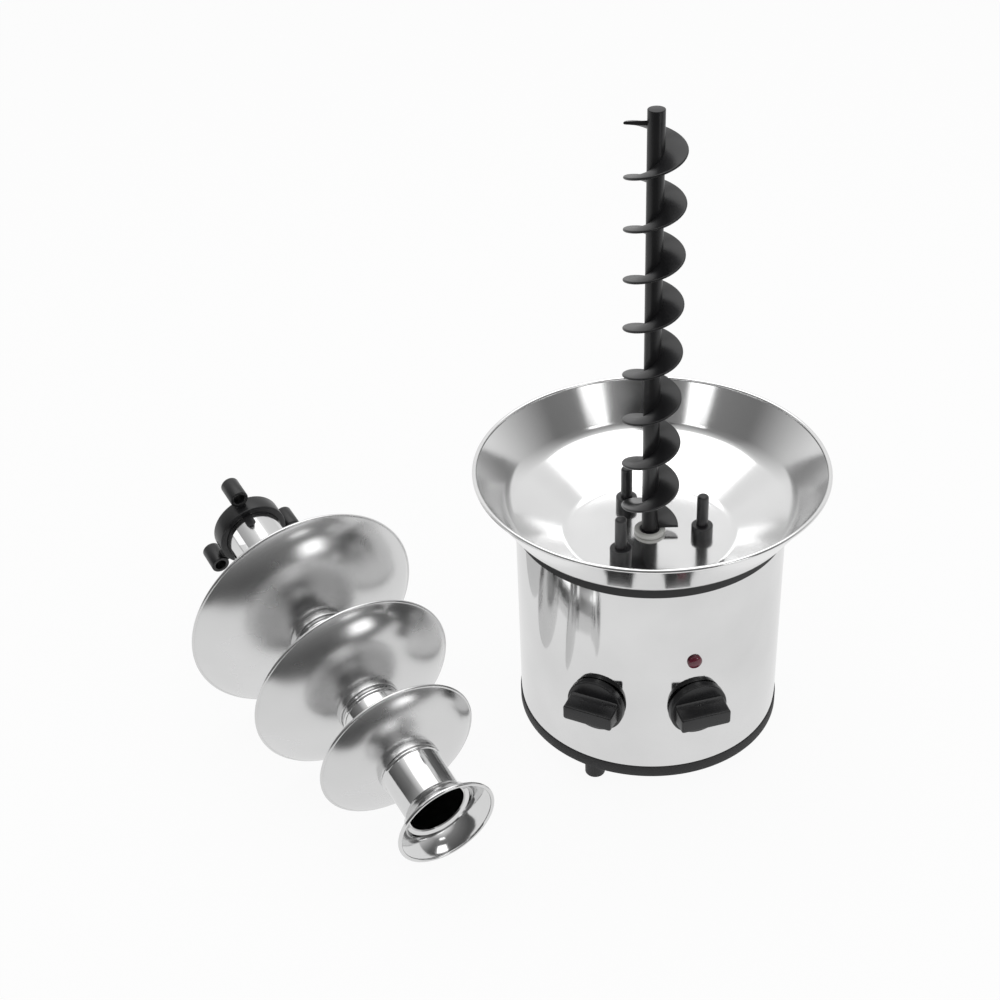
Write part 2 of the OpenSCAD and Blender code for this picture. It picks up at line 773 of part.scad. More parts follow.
module gland_nut() {
    nut_r = gland_neck + 4.2;
    color("black") on_panel(180, gland_z) translate([0, 0, panel_in(nut_r) - 5 - touch])
        hex_nut(nut_r, gland_neck + touch, 5);
}

// Block of three clamps on the plate, midway between two feet
block_l = 34;
block_w = 14;
block_pitch = 11;
block_hole_r = 2.6;
block_floor = 4;
module terminal_block() {
    color("whitesmoke") rotate([0, 0, foot_angle + 60]) translate([terminal_at, 0, plate_z1]) difference() {
        translate([-block_w / 2, -block_l / 2, 0]) cube([block_w, block_l, block_w]);
        for (y = [-1, 0, 1]) translate([0, y * block_pitch, block_floor])
            cylinder(r = block_hole_r, h = block_w);
    }
}

// Tower
module tower_collar() {
    color("black") on_tower() rotate([0, 0, tower_spin]) difference() {
        union() {
            translate([0, 0, ring_at]) cylinder(r = lower_r + touch + ring_t, h = ring_h);
            for (a = [0, 120, 240]) rotate([0, 0, a]) {
                translate([post_circle, 0, 0]) cylinder(r = socket_r, h = socket_l);
                translate([lower_r + 2, -3.5, ring_at + 1])
                    cube([post_circle - lower_r - 2, 7, socket_l - ring_at - 2]);
                intersection() {
                    translate([0, 0, ring_at]) cylinder(r = lower_r + touch + 1.8, h = ring_h + 12);
                    translate([0, 0, ring_at + ring_h + 8]) rotate([0, 90, 0]) union() {
                        cylinder(r = 3.5, h = 40);
                        translate([0, -3.5, 0]) cube([12, 7, 40]);
                    }
                }
            }
        }
        translate([0, 0, -1]) cylinder(r = lower_r + touch, h = ring_at + ring_h + 20);
        for (a = [0, 120, 240]) rotate([0, 0, a]) translate([post_circle, 0, -1])
            cylinder(r = socket_in, h = socket_l + 2);
    }
}

// A tube along the tower's axis with rolled beads round it
module tube(z0, z1, r_out, r_in, beads) {
    difference() {
        union() {
            translate([0, 0, z0]) cylinder(r = r_out, h = z1 - z0);
            for (z = beads) translate([0, 0, z]) rotate_extrude() translate([r_out, 0]) circle(r = tube_bead);
        }
        translate([0, 0, z0 - 1]) cylinder(r = r_in, h = z1 - z0 + 2);
    }
}

module lower_tube() {
    slot_w = 5;
    slot_l = 26;
    color("silver") on_tower() difference() {
        tube(ring_at, lower_top, lower_r, lower_in, [large_hub - hub_drop - tube_bead]);
        translate([0, 0, lower_top - spigot_l]) cylinder(r = lower_in + spigot_clear, h = spigot_l + 1);
        for (a = [40, 160, 280]) rotate([0, 0, tower_spin + a])
            translate([0, -slot_w / 2, ring_at + ring_h + 4]) cube([lower_r + 5, slot_w, slot_l]);
    }
}

module middle_tube() {
    color("silver") on_tower() difference() {
        union() {
            tube(lower_top - spigot_l, middle_top - spigot_l, inner_r, inner_in, [lower_top + tube_bead]);
            translate([0, 0, middle_top - spigot_l - 2]) cylinder(r = lower_r, h = spigot_l + 2);
            translate([0, 0, medium_hub - hub_drop - tube_bead]) rotate_extrude()
                translate([lower_r, 0]) circle(r = tube_bead);
        }
        translate([0, 0, middle_top - spigot_l]) cylinder(r = lower_in + spigot_clear, h = spigot_l + 1);
        translate([0, 0, lower_top - spigot_l - 1]) cylinder(r = inner_in, h = middle_top);
    }
}

module upper_tube() {
    color("silver") on_tower() tube(middle_top - spigot_l + 0.5, crown_at + 2.5, inner_r, inner_in,
        [middle_top + tube_bead, small_hub - hub_drop - tube_bead, small_hub + hub_up + tube_bead]);
}

// A spun dome on the tower's axis, an arc of an ellipse in section: its rolled edge at z and its
// hub round a tube of radius tube_r. dome_from is the arc's first angle, at the edge
dome_from = 15;
function dome(edge, rise, z, t) = [for (a = [dome_from:5:90])
    [(edge / cos(dome_from) - t) * cos(a),
        z + rise - (rise / (1 - sin(dome_from))) * (1 - sin(a)) - t * sin(a)]];
module canopy(z, r, rise, tube_r) {
    edge = r - canopy_roll + canopy_t / 2;
    hub_in = tube_r + hub_clear;
    color("lightgray") on_tower() difference() {
        union() {
            rotate_extrude() {
                polygon(concat(dome(edge, rise, z, 0), flip(dome(edge, rise, z, canopy_t))));
                translate([r - canopy_roll, z]) circle(r = canopy_roll);
            }
            translate([0, 0, z + rise - hub_drop]) cylinder(r = hub_in + hub_t, h = hub_drop + hub_up);
        }
        translate([0, 0, z]) cylinder(r = hub_in, h = 2 * rise);
    }
}

module canopy_large() {
    canopy(large_at, large_r, large_rise, lower_r);
}

module canopy_medium() {
    canopy(medium_at, medium_r, medium_rise, lower_r);
}

module canopy_small() {
    canopy(small_at, small_r, small_rise, inner_r);
}

module crown_cup() {
    cup_t = 1;
    roll = 1.3;
    neck = inner_r + touch;
    outline = concat([[neck, crown_at], [neck + cup_t, crown_at]],
        curve([neck + cup_t + 2.4, crown_at + 3], [neck + cup_t + 5, crown_at + crown_h * 0.6],
            [crown_r - roll, lip_at - roll - 0.5], 8));
    inner = concat([[neck, crown_at + 3]],
        curve([neck + 2.4, crown_at + 4], [neck + 4.6, crown_at + crown_h * 0.65],
            [crown_r - roll - 0.4, lip_at - roll + 0.5], 8));
    color("silver") on_tower() rotate_extrude() {
        polygon(concat(outline, flip(inner)));
        translate([crown_r - roll, lip_at - roll]) circle(r = roll);
    }
}

body_shell();
bottom_trim_ring();
base_plate();
foot(0);  // foot_1
foot(1);  // foot_2
foot(2);  // foot_3
bowl();
bowl_gasket();
support_post(0);  // support_post_1
support_post(1);  // support_post_2
support_post(2);  // support_post_3
post_nuts();
shaft_bush();
bush_nut();
shaft_seal();
thrust_washer();
heater_plate();
heater_element();
thermal_cutout();
bracket_plate();
bracket_pillars();
pillar_screws();
lower_bush();
gear_cover();
gear_cover_screws();
motor_can();
motor_screws();
motor_switch();
heat_thermostat();
switch_screws();
lamp_lens();
lamp_body();
lamp_nut();
cord_gland();
gland_nut();
terminal_block();
output_shaft();
output_gear();
motor_shaft();
motor_pinion();
auger();
motor_knob();
motor_spindle();
heat_knob();
heat_spindle();
tower_collar();
lower_tube();
canopy_large();
middle_tube();
canopy_medium();
upper_tube();
canopy_small();
crown_cup();
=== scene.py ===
"""Looks of the chocolate fountain: a polished steel base with its auger, and the tower beside it."""

import json
import math

import bmesh
import bpy
from mathutils import Matrix, Vector


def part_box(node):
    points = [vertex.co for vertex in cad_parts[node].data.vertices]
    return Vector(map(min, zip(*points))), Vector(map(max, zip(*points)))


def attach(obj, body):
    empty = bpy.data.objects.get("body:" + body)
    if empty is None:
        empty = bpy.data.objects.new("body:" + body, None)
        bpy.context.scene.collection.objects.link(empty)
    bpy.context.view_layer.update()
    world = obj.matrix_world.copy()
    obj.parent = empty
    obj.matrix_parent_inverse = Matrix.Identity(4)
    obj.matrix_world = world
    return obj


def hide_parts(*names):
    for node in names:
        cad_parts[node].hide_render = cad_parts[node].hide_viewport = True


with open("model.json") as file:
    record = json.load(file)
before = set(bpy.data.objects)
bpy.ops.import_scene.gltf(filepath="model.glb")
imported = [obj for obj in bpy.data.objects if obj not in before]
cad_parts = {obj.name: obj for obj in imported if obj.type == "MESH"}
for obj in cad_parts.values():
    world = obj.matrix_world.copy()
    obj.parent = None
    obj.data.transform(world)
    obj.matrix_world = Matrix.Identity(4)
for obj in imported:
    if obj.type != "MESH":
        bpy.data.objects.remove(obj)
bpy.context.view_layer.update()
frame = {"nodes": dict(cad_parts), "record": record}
scene = bpy.context.scene

# Sizes are in millimetres, as in the part's source, and a finished piece is scaled to metres
TO_METRES = 0.001

# Steps of a full turn on large and on small pieces
FINE = 192
SMALL = 64

# Points nearer than this become one, and edges that turn by more degrees than this stay sharp
WELD = 0.0005
CRISP = 32

# Rays that carry what the steel mirrors
MIRROR_RAYS = ["Is Glossy Ray", "Is Transmission Ray"]


def span(node):
    """Lowest and highest corner of a CAD node."""
    low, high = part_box(node)
    return Vector(low) / TO_METRES, Vector(high) / TO_METRES


# Gaps between pieces that are fixed together, and between pieces that slide or bear on each other
seat_gap = 0.05
slip_gap = 0.1

# Drum, bowl and boss; what the frame gives is read from it
shell_low, shell_high = span("body_shell")
trim_low, trim_high = span("bottom_trim_ring")
bowl_low, bowl_high = span("bowl")
boss_low, boss_high = span("shaft_bush")
washer_low, washer_high = span("thrust_washer")
shell_r = shell_high.x
shell_t = 1
gasket_r = span("bowl_gasket")[1].x
bowl_t = 1.2
rim_roll = 1.5
rim_r = bowl_high.x
rim_z = bowl_high.z - rim_roll
floor_under = bowl_low.z
floor_z = floor_under + bowl_t
floor_r = 58
floor_bend = 14
crease_r = shell_r + 6.5
crease_z = shell_high.z + 9.7
crease_bend = 6
shaft_r = 3
boss_r = 6.7

# Posts
post_circle = 35.7
post_turn = -2.4
shoulder_r = 7.4
shoulder_h = 8
pin_r = 4
pin_top = span("support_post_1")[1].z

# Auger
auger_low, auger_high = span("auger")
core_r = 5.5
flight_r = auger_high.x
flight_turns = 8.5
flight_pitch = 34
flight_drop = 8.7
steps_per_turn = 48

# Controls, on the shell at an angle from the front
knob_angle = 21
knob_z = 76
knob_reach = 19
knob_back = 0.5
knob_edge = 1
skirt_r = 20
skirt_t = 5
grip_half_w = 17.25
grip_half_h = 5.5
grip_flare = 3
lamp_angle = 19.6
lamp_z = 114
lens_r = 5
gland_z = 42

# Tower, along its own axis from the sockets' mouths
tower_at = Vector((-312.6, 86.9, 102.428))
tower_heading = 35
tower_tilt = 8.8807
tower_spin = 101.6
lower_r = 21.4
upper_r = 20.6
tube_t = 0.8
bead_r = 1.5
canopy_t = 1
canopy_roll = 1.2
dome_from = 15
hub_t = 1.2
hub_half = 3
joint_above = 2
ring_at = 9.5
ring_h = 14
socket_l = 19
socket_r = 6.9
socket_in = 4.2
slot_l = 26
spigot_l = 15
large = {"at": 113, "r": 86, "rise": 29, "tube": lower_r}
medium = {"at": 193, "r": 73.5, "rise": 24, "tube": lower_r}
small = {"at": 260, "r": 56.8, "rise": 16, "tube": upper_r}
crown_at = 313
crown_h = 17
crown_r = 35
crown_roll = 1.3

tower = (Matrix.Translation(tower_at) @ Matrix.Rotation(math.radians(tower_heading), 4, "Z")
         @ Matrix.Rotation(math.radians(90 + tower_tilt), 4, "X"))


def on_panel(angle, z):
    """Place on the shell: +Z outwards, +Y up, at an angle from the front."""
    return (Matrix.Rotation(math.radians(angle), 4, "Z") @ Matrix.Translation((0, -shell_r, z))
            @ Matrix.Rotation(math.radians(90), 4, "X"))


def round_axis(angle, r):
    """Place at an angle and radius round the base's axis."""
    return Matrix.Rotation(math.radians(angle), 4, "Z") @ Matrix.Translation((r, 0, 0))


# Outlines: lists of (radius, height)
def arc(r, z, bend, start, end, steps):
    """Points of a circular arc about (r, z), its angles in degrees."""
    turns = [math.radians(start + (end - start) * k / steps) for k in range(steps + 1)]
    return [(r + bend * math.cos(a), z + bend * math.sin(a)) for a in turns]


def rolled(r, z, bend, steps=16):
    """Closed round outline of a rolled edge."""
    return arc(r, z, bend, 0, 360, steps)[:-1]


def bent(a, b, c, steps):
    """Points of a curve from a to c that leaves and arrives towards b."""
    a, b, c = Vector(a), Vector(b), Vector(c)
    shares = [k / steps for k in range(steps + 1)]
    return [tuple(a * (1 - t) ** 2 + b * 2 * t * (1 - t) + c * t ** 2) for t in shares]


def along(a, b, distance):
    """The point at a distance from a towards b."""
    a, b = Vector(a), Vector(b)
    return tuple(a + (b - a).normalized() * distance)


def eased(points, radius, corners, steps):
    """The outline with the named corners rounded to a radius."""
    result = []
    for i, point in enumerate(points):
        if i not in corners:
            result.append(point)
            continue
        p = Vector(point)
        back = (Vector(points[i - 1]) - p).normalized()
        ahead = (Vector(points[(i + 1) % len(points)]) - p).normalized()
        half = back.angle(ahead) / 2
        centre = p + (back + ahead).normalized() * (radius / math.sin(half))
        start = p + back * (radius / math.tan(half)) - centre
        end = p + ahead * (radius / math.tan(half)) - centre
        first = math.atan2(start.y, start.x)
        sweep = (math.atan2(end.y, end.x) - first + math.pi) % (2 * math.pi) - math.pi
        result += [(centre.x + radius * math.cos(first + sweep * k / steps),
                    centre.y + radius * math.sin(first + sweep * k / steps)) for k in range(steps + 1)]
    return result


def walled(path, t):
    """Closed outline of a sheet of thickness t, laid to the left of its path."""
    points = [Vector(p) for p in path]
    away = []
    for i, p in enumerate(points):
        before = (p - points[i - 1]).normalized() if i else (points[1] - p).normalized()
        after = (points[i + 1] - p).normalized() if i < len(points) - 1 else before
        left = Vector((-before.y - after.y, before.x + after.x))
        away.append(tuple(p + left * (2 * t / left.length_squared)))
    return list(path) + away[::-1]


# Shapes
def turned(bm, outline, closed=True, steps=FINE):
    """Spins an outline once round the Z axis."""
    verts = [bm.verts.new((r, 0, z)) for r, z in outline]
    edges = [bm.edges.new(pair) for pair in zip(verts, verts[1:])]
    if closed:
        edges.append(bm.edges.new((verts[-1], verts[0])))
    bmesh.ops.spin(bm, geom=verts + edges, cent=(0, 0, 0), axis=(0, 0, 1), angle=2 * math.pi,
                   steps=steps, use_merge=True)
    bmesh.ops.remove_doubles(bm, verts=bm.verts, dist=WELD)


def lathe(outline, closed=True, steps=FINE):
    """A new mesh spun from one outline."""
    bm = bmesh.new()
    turned(bm, outline, closed, steps)
    return bm


def ring_outline(r_in, r_out, z0, z1, edge):
    """Outline of a ring with rounded edges."""
    return eased([(r_in, z0), (r_out, z0), (r_out, z1), (r_in, z1)], edge, (0, 1, 2, 3), 3)


def upright_loop(bm, outline):
    """A closed upright loop of wire, as its points and edges, ready to be spun."""
    verts = [bm.verts.new((r, 0, z)) for r, z in outline]
    return verts + [bm.edges.new((verts[i - 1], v)) for i, v in enumerate(verts)]


def level_loop(bm, outline, z):
    """A closed level loop of wire at a height, as its edges."""
    verts = [bm.verts.new((x, y, z)) for x, y in outline]
    return [bm.edges.new((verts[i - 1], v)) for i, v in enumerate(verts)]


def lofted(bm, loops):
    """Skins a row of loops and closes both ends."""
    for first, second in zip(loops, loops[1:]):
        bmesh.ops.bridge_loops(bm, edges=first + second)
    for end in (loops[0], loops[-1]):
        bmesh.ops.contextual_create(bm, geom=end)


def rounded_box(half_x, half_y, corner):
    """Outline of a rectangle with rounded corners."""
    outline = []
    for sx, sy, start in ((1, 1, 0), (-1, 1, 90), (-1, -1, 180), (1, -1, 270)):
        outline += arc(sx * (half_x - corner), sy * (half_y - corner), corner, start, start + 90, 4)
    return outline


def place_piece(name, bm, body, nodes, finish, place=Matrix()):
    """Makes a mesh a piece of the object: placed, shaded, finished, and riding its body."""
    bm.transform(Matrix.Scale(TO_METRES, 4) @ place)
    bm.normal_update()
    bmesh.ops.recalc_face_normals(bm, faces=bm.faces)
    mesh = bpy.data.meshes.new(name)
    bm.to_mesh(mesh)
    bm.free()
    mesh.shade_smooth()
    mesh.set_sharp_from_angle(angle=math.radians(CRISP))
    mesh.materials.append(finish)
    piece = bpy.data.objects.new(name, mesh)
    scene.collection.objects.link(piece)
    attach(piece, body)
    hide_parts(*nodes)


# Finishes
def new_finish(name):
    """A new material, its nodes, its shader and the object's coordinates."""
    finish = bpy.data.materials.new(name)
    finish.use_nodes = True
    tree = finish.node_tree
    where = tree.nodes.new("ShaderNodeTexCoord").outputs["Object"]
    return finish, tree, tree.nodes["Principled BSDF"], where


def tower_coords(tree, where):
    """Coordinates on the tower's own axis."""
    node = tree.nodes.new("ShaderNodeMapping")
    node.vector_type = "TEXTURE"
    node.inputs["Location"].default_value = tower_at * TO_METRES
    node.inputs["Rotation"].default_value = tower.to_euler()
    tree.links.new(where, node.inputs["Vector"])
    return node.outputs["Vector"]


def axes_of(tree, where):
    """The X, Y and Z of coordinates."""
    node = tree.nodes.new("ShaderNodeSeparateXYZ")
    tree.links.new(where, node.inputs["Vector"])
    return node.outputs["X"], node.outputs["Y"], node.outputs["Z"]


def round_coords(tree, where):
    """Coordinates (distance from the Z axis, 0, height), for lines that run round a turned piece."""
    x, y, z = axes_of(tree, where)
    flat = tree.nodes.new("ShaderNodeCombineXYZ")
    tree.links.new(x, flat.inputs["X"])
    tree.links.new(y, flat.inputs["Y"])
    length = tree.nodes.new("ShaderNodeVectorMath")
    length.operation = "LENGTH"
    tree.links.new(flat.outputs["Vector"], length.inputs[0])
    joined = tree.nodes.new("ShaderNodeCombineXYZ")
    tree.links.new(length.outputs["Value"], joined.inputs["X"])
    tree.links.new(z, joined.inputs["Z"])
    return joined.outputs["Vector"]


def ranged(tree, value, low, high):
    """A value from low to high, mapped to 0 to 1."""
    node = tree.nodes.new("ShaderNodeMapRange")
    node.inputs["From Min"].default_value = low
    node.inputs["From Max"].default_value = high
    tree.links.new(value, node.inputs["Value"])
    return node.outputs["Result"]


def grain(tree, where, scale, detail):
    """Noise on the coordinates."""
    node = tree.nodes.new("ShaderNodeTexNoise")
    node.inputs["Scale"].default_value = scale
    node.inputs["Detail"].default_value = detail
    tree.links.new(where, node.inputs["Vector"])
    return node.outputs["Fac"]


def graded(tree, value, stops):
    """A colour ramp: stops are (place, grey or colour)."""
    node = tree.nodes.new("ShaderNodeValToRGB")
    ramp = node.color_ramp
    while len(ramp.elements) < len(stops):
        ramp.elements.new(0.5)
    for element, (at, colour) in zip(ramp.elements, stops):
        element.position = at
        element.color = (*colour, 1) if isinstance(colour, tuple) else (colour, colour, colour, 1)
    tree.links.new(value, node.inputs["Fac"])
    return node.outputs["Color"]


def raised(tree, shader, value, strength, depth):
    """Fine relief from a value; depth in metres."""
    node = tree.nodes.new("ShaderNodeBump")
    node.inputs["Strength"].default_value = strength
    node.inputs["Distance"].default_value = depth
    tree.links.new(value, node.inputs["Height"])
    tree.links.new(node.outputs["Normal"], shader.inputs["Normal"])


def polished_steel(name, rough, relief, lines=900, tone=(0.70, 0.78), on_tower=False):
    """Spun and polished steel: fine lines round the axis, and faint smears that dull the shine."""
    smear_scale, line_depth = 14, 0.0004
    clean, smeared = 0.8, 1.35
    finish, tree, shader, where = new_finish(name)
    if on_tower:
        where = tower_coords(tree, where)
    smear = grain(tree, where, smear_scale, 4)
    spun = grain(tree, round_coords(tree, where), lines, 2)
    tint = graded(tree, smear, [(0.3, tone[0]), (0.7, tone[1])])
    dull = graded(tree, smear, [(0.35, rough * clean), (0.75, rough * smeared)])
    shader.inputs["Metallic"].default_value = 1
    tree.links.new(tint, shader.inputs["Base Color"])
    tree.links.new(dull, shader.inputs["Roughness"])
    raised(tree, shader, spun, relief, line_depth)
    return finish


def moulded(name, dark, light, rough, relief=0.06, metallic=0.0):
    """A moulded or cast surface: slight mottling, uneven gloss and a fine skin."""
    mottle_scale, skin_scale, skin_depth = 31.2, 2080, 0.0002
    glossy, dull = 0.88, 1.15
    finish, tree, shader, where = new_finish(name)
    mottle = grain(tree, where, mottle_scale, 4)
    skin = grain(tree, where, skin_scale, 2)
    tint = graded(tree, mottle, [(0.3, dark), (0.7, light)])
    gloss = graded(tree, mottle, [(0.3, rough * glossy), (0.7, rough * dull)])
    shader.inputs["Metallic"].default_value = metallic
    tree.links.new(tint, shader.inputs["Base Color"])
    tree.links.new(gloss, shader.inputs["Roughness"])
    raised(tree, shader, skin, relief, skin_depth)
    return finish


def lamp_red():
    """Dark red lens, faintly mottled under a clear gloss."""
    mottle_scale, coat = 420, 0.5
    finish, tree, shader, where = new_finish("lamp_lens_red")
    mottle = grain(tree, where, mottle_scale, 2)
    tint = graded(tree, mottle, [(0.3, (0.08, 0.005, 0.016)), (0.7, (0.15, 0.010, 0.030))])
    gloss = graded(tree, mottle, [(0.3, 0.14), (0.7, 0.24)])
    shader.inputs["Coat Weight"].default_value = coat
    tree.links.new(tint, shader.inputs["Base Color"])
    tree.links.new(gloss, shader.inputs["Roughness"])
    return finish


shell_steel = polished_steel("polished_shell_steel", 0.07, 0.006, lines=300)
bowl_steel = polished_steel("spun_bowl_steel", 0.14, 0.015, tone=(0.84, 0.90))
canopy_steel = polished_steel("spun_canopy_steel", 0.25, 0.03, on_tower=True)
tube_steel = polished_steel("drawn_tube_steel", 0.11, 0.015, on_tower=True)
black_plastic = moulded("black_moulding", (0.009, 0.009, 0.010), (0.015, 0.015, 0.016), 0.32)
knob_black = moulded("knob_moulding", (0.010, 0.010, 0.011), (0.017, 0.017, 0.018), 0.28, relief=0.04)
black_rubber = moulded("foot_rubber", (0.018, 0.018, 0.019), (0.03, 0.03, 0.031), 0.6, relief=0.2)
pale_plastic = moulded("pale_washer_plastic", (0.55, 0.55, 0.53), (0.66, 0.66, 0.63), 0.45)
plated = moulded("plated_steel", (0.5, 0.51, 0.53), (0.66, 0.67, 0.68), 0.32, metallic=1.0)
brass = moulded("sintered_brass", (0.55, 0.40, 0.17), (0.72, 0.55, 0.26), 0.4, metallic=1.0)
aluminium = moulded("cast_aluminium", (0.5, 0.51, 0.52), (0.62, 0.63, 0.64), 0.45, metallic=1.0)
sheath = moulded("heater_sheath", (0.22, 0.2, 0.19), (0.36, 0.34, 0.33), 0.4, metallic=1.0)

# Finish of each material slot of the pieces inside the drum
hidden_finishes = {
    "plated_steel": plated,
    "sintered_brass": brass,
    "heater_aluminium": aluminium,
    "heater_sheath": sheath,
    "moulded_tan": moulded("moulded_tan", (0.42, 0.31, 0.19), (0.5, 0.38, 0.25), 0.5),
    "white_plastic": moulded("white_moulding", (0.72, 0.72, 0.70), (0.8, 0.8, 0.78), 0.45),
    "grey_plastic": moulded("grey_moulding", (0.1, 0.1, 0.105), (0.14, 0.14, 0.145), 0.5),
    "motor_steel": moulded("motor_paint", (0.12, 0.12, 0.125), (0.16, 0.16, 0.165), 0.45),
    "seal_rubber": moulded("seal_rubber", (0.13, 0.04, 0.02), (0.17, 0.06, 0.03), 0.6, relief=0.15),
    "black_plastic": black_plastic,
    "pale_plastic": pale_plastic,
}


# Base
def shell_wall():
    """The drum: a sheet wall, open behind each knob for its spindle."""
    hole_r = 5
    bm = bmesh.new()
    rows = [shell_low.z, knob_z - hole_r, knob_z + hole_r, shell_high.z]
    turned(bm, [(shell_r, z) for z in rows], closed=False)
    holes = []
    for side in (-1, 1):
        centre = on_panel(side * knob_angle, knob_z).translation
        holes += [f for f in bm.faces if (f.calc_center_median() - centre).length < hole_r]
    bmesh.ops.delete(bm, geom=holes, context="FACES")
    bmesh.ops.recalc_face_normals(bm, faces=bm.faces)
    bmesh.ops.solidify(bm, geom=bm.faces[:], thickness=shell_t)
    return bm


def trim_ring():
    """Black ring round the foot of the drum, with a lip under it."""
    lip_w, edge, chamfer_w, chamfer_h = 2.5, 0.5, 0.3, 0.5
    lip_r, seat_r, r = shell_r - lip_w, shell_r + seat_gap, trim_high.x
    outline = [(lip_r, trim_low.z), (r, trim_low.z), (r, trim_high.z - chamfer_h),
               (r - chamfer_w, trim_high.z), (seat_r, trim_high.z), (seat_r, shell_low.z),
               (lip_r, shell_low.z)]
    return lathe(eased(outline, edge, (1,), 4))


def foot():
    """Rubber foot, with a neck and a tapered head that hold it in the base plate."""
    foot_r, neck_r, head_r = 7, 3, 4.4
    plate_t, head_h, edge = 1.5, 3, 0.9
    shoulder = shell_low.z
    plate_top = shoulder + plate_t
    end = plate_top + head_h
    outline = [(0, 0), (foot_r, 0), (foot_r, shoulder), (neck_r, shoulder), (neck_r, plate_top),
               (head_r, plate_top), (neck_r, end), (0, end)]
    return lathe(eased(outline, edge, (1,), 5), closed=False, steps=SMALL)


# The bowl's underside, from its flat floor to the rim
dish_start = (floor_r, floor_under)
crease = (crease_r, crease_z)
wall_end = (rim_r - rim_roll + bowl_t / 2, rim_z)
crease_curve = bent(along(crease, dish_start, crease_bend), crease,
                    along(crease, wall_end, crease_bend), 24)


def gasket():
    """Soft ring between drum and bowl: its upper face lies under the sloping dish."""
    edge, overlap = 0.8, 3
    r_in, r_out = shell_r - overlap, gasket_r
    rise = (crease_z - floor_under) / (crease_r - floor_r)
    top_in, top_out = (floor_under + rise * (r - floor_r) - slip_gap for r in (r_in, r_out))
    outline = [(r_in, top_in), (r_in, shell_high.z), (r_out, shell_high.z), (r_out, top_out)]
    return lathe(eased(outline, edge, (2,), 5))


def bowl():
    """Flat floor, sloping dish, a bend above the gasket, a flared wall and a rolled rim."""
    hole_r = 6
    path = eased([(hole_r, floor_under), dish_start] + crease_curve + [wall_end], floor_bend, (1,), 10)
    bm = lathe(walled(path, bowl_t))
    turned(bm, rolled(rim_r - rim_roll, rim_z, rim_roll, 20))
    return bm


def post():
    """Post: a shoulder on the floor that carries the tower, and a round-ended pin."""
    shoulder_edge, pin_round = 0.8, 2
    shoulder_z = floor_z + shoulder_h
    shoulder = [(0, floor_z), (shoulder_r, floor_z), (shoulder_r, shoulder_z), (pin_r, shoulder_z)]
    pin = [(pin_r, shoulder_z), (pin_r, pin_top), (0, pin_top)]
    outline = eased(shoulder, shoulder_edge, (2,), 5) + eased(pin, pin_round, (1,), 8)[1:]
    return lathe(outline, closed=False, steps=SMALL)


def boss():
    """Shaft bush: a low boss in the bowl and the neck below its floor."""
    neck_step, recess_wall, recess_depth = 0.8, 2, 2
    bore, neck_r = shaft_r + slip_gap, boss_r - neck_step
    recess_r, recess_z = boss_r - recess_wall, boss_high.z - recess_depth
    outline = [(bore, boss_low.z), (neck_r, boss_low.z), (neck_r, floor_z), (boss_r, floor_z),
               (boss_r, boss_high.z), (recess_r, boss_high.z), (recess_r, recess_z), (bore, recess_z)]
    return lathe(outline, steps=SMALL)


def washer():
    """Pale washer round the boss, that the auger's foot runs above."""
    edge = 0.8
    outline = ring_outline(boss_r + seat_gap, washer_high.x, washer_low.z, washer_high.z, edge)
    return lathe(outline, steps=SMALL)


def auger():
    """Screw: a core with a socket at its foot, and one right-handed flight."""
    socket_r, socket_l, core_edge = shaft_r - 0.15, 18, 0.5
    root_half, web_half, tip_half, sink, web_out = 1.6, 1.472, 0.9, 0.4, 1
    bottom, top = auger_low.z, auger_high.z
    socket_end = bottom + socket_l
    bm = bmesh.new()
    core = [(0, socket_end), (socket_r, socket_end), (socket_r, bottom), (core_r, bottom),
            (core_r, top), (0, top)]
    turned(bm, eased(core, core_edge, (3, 4), 4), closed=False, steps=SMALL)
    rise = flight_turns * flight_pitch
    start = top - flight_drop - rise
    root_r, web_r = core_r - sink, core_r + web_out
    tip = arc(flight_r - tip_half, start, tip_half, -90, 90, 8)
    section = upright_loop(bm, [(root_r, start - root_half), (web_r, start - web_half)] + tip
                           + [(web_r, start + web_half), (root_r, start + root_half)])
    steps = int(flight_turns * steps_per_turn)
    made = bmesh.ops.spin(bm, geom=section, cent=(0, 0, 0), axis=(0, 0, 1), dvec=(0, 0, rise / steps),
                          angle=2 * math.pi * flight_turns, steps=steps)
    for end in (section, made["geom_last"]):
        bmesh.ops.contextual_create(bm, geom=[e for e in end if isinstance(e, bmesh.types.BMEdge)])
    return bm


def knob():
    """Round skirt, hollow behind, and a bar across it that narrows for the fingers."""
    recess_r, recess_z, corner, flare_h = 9.5, 2.25, 1.6, 2
    root = knob_back + skirt_t
    skirt = [(0, recess_z), (recess_r, recess_z), (recess_r, knob_back), (skirt_r, knob_back),
             (skirt_r, root), (0, root)]
    bm = lathe(eased(skirt, knob_edge, (4,), 5), closed=False, steps=2 * SMALL)
    face = knob_reach - knob_edge
    sides = bent((root - knob_edge, grip_half_h + grip_flare), (root + flare_h, grip_half_h),
                 (face, grip_half_h), 14)
    bar = [level_loop(bm, rounded_box(grip_half_w, half, corner), z) for z, half in sides]
    for back, up in arc(0, 0, knob_edge, 0, 90, 4)[1:]:
        inset = knob_edge - back
        outline = rounded_box(grip_half_w - inset, grip_half_h - inset, corner)
        bar.append(level_loop(bm, outline, face + up))
    lofted(bm, bar)
    return bm


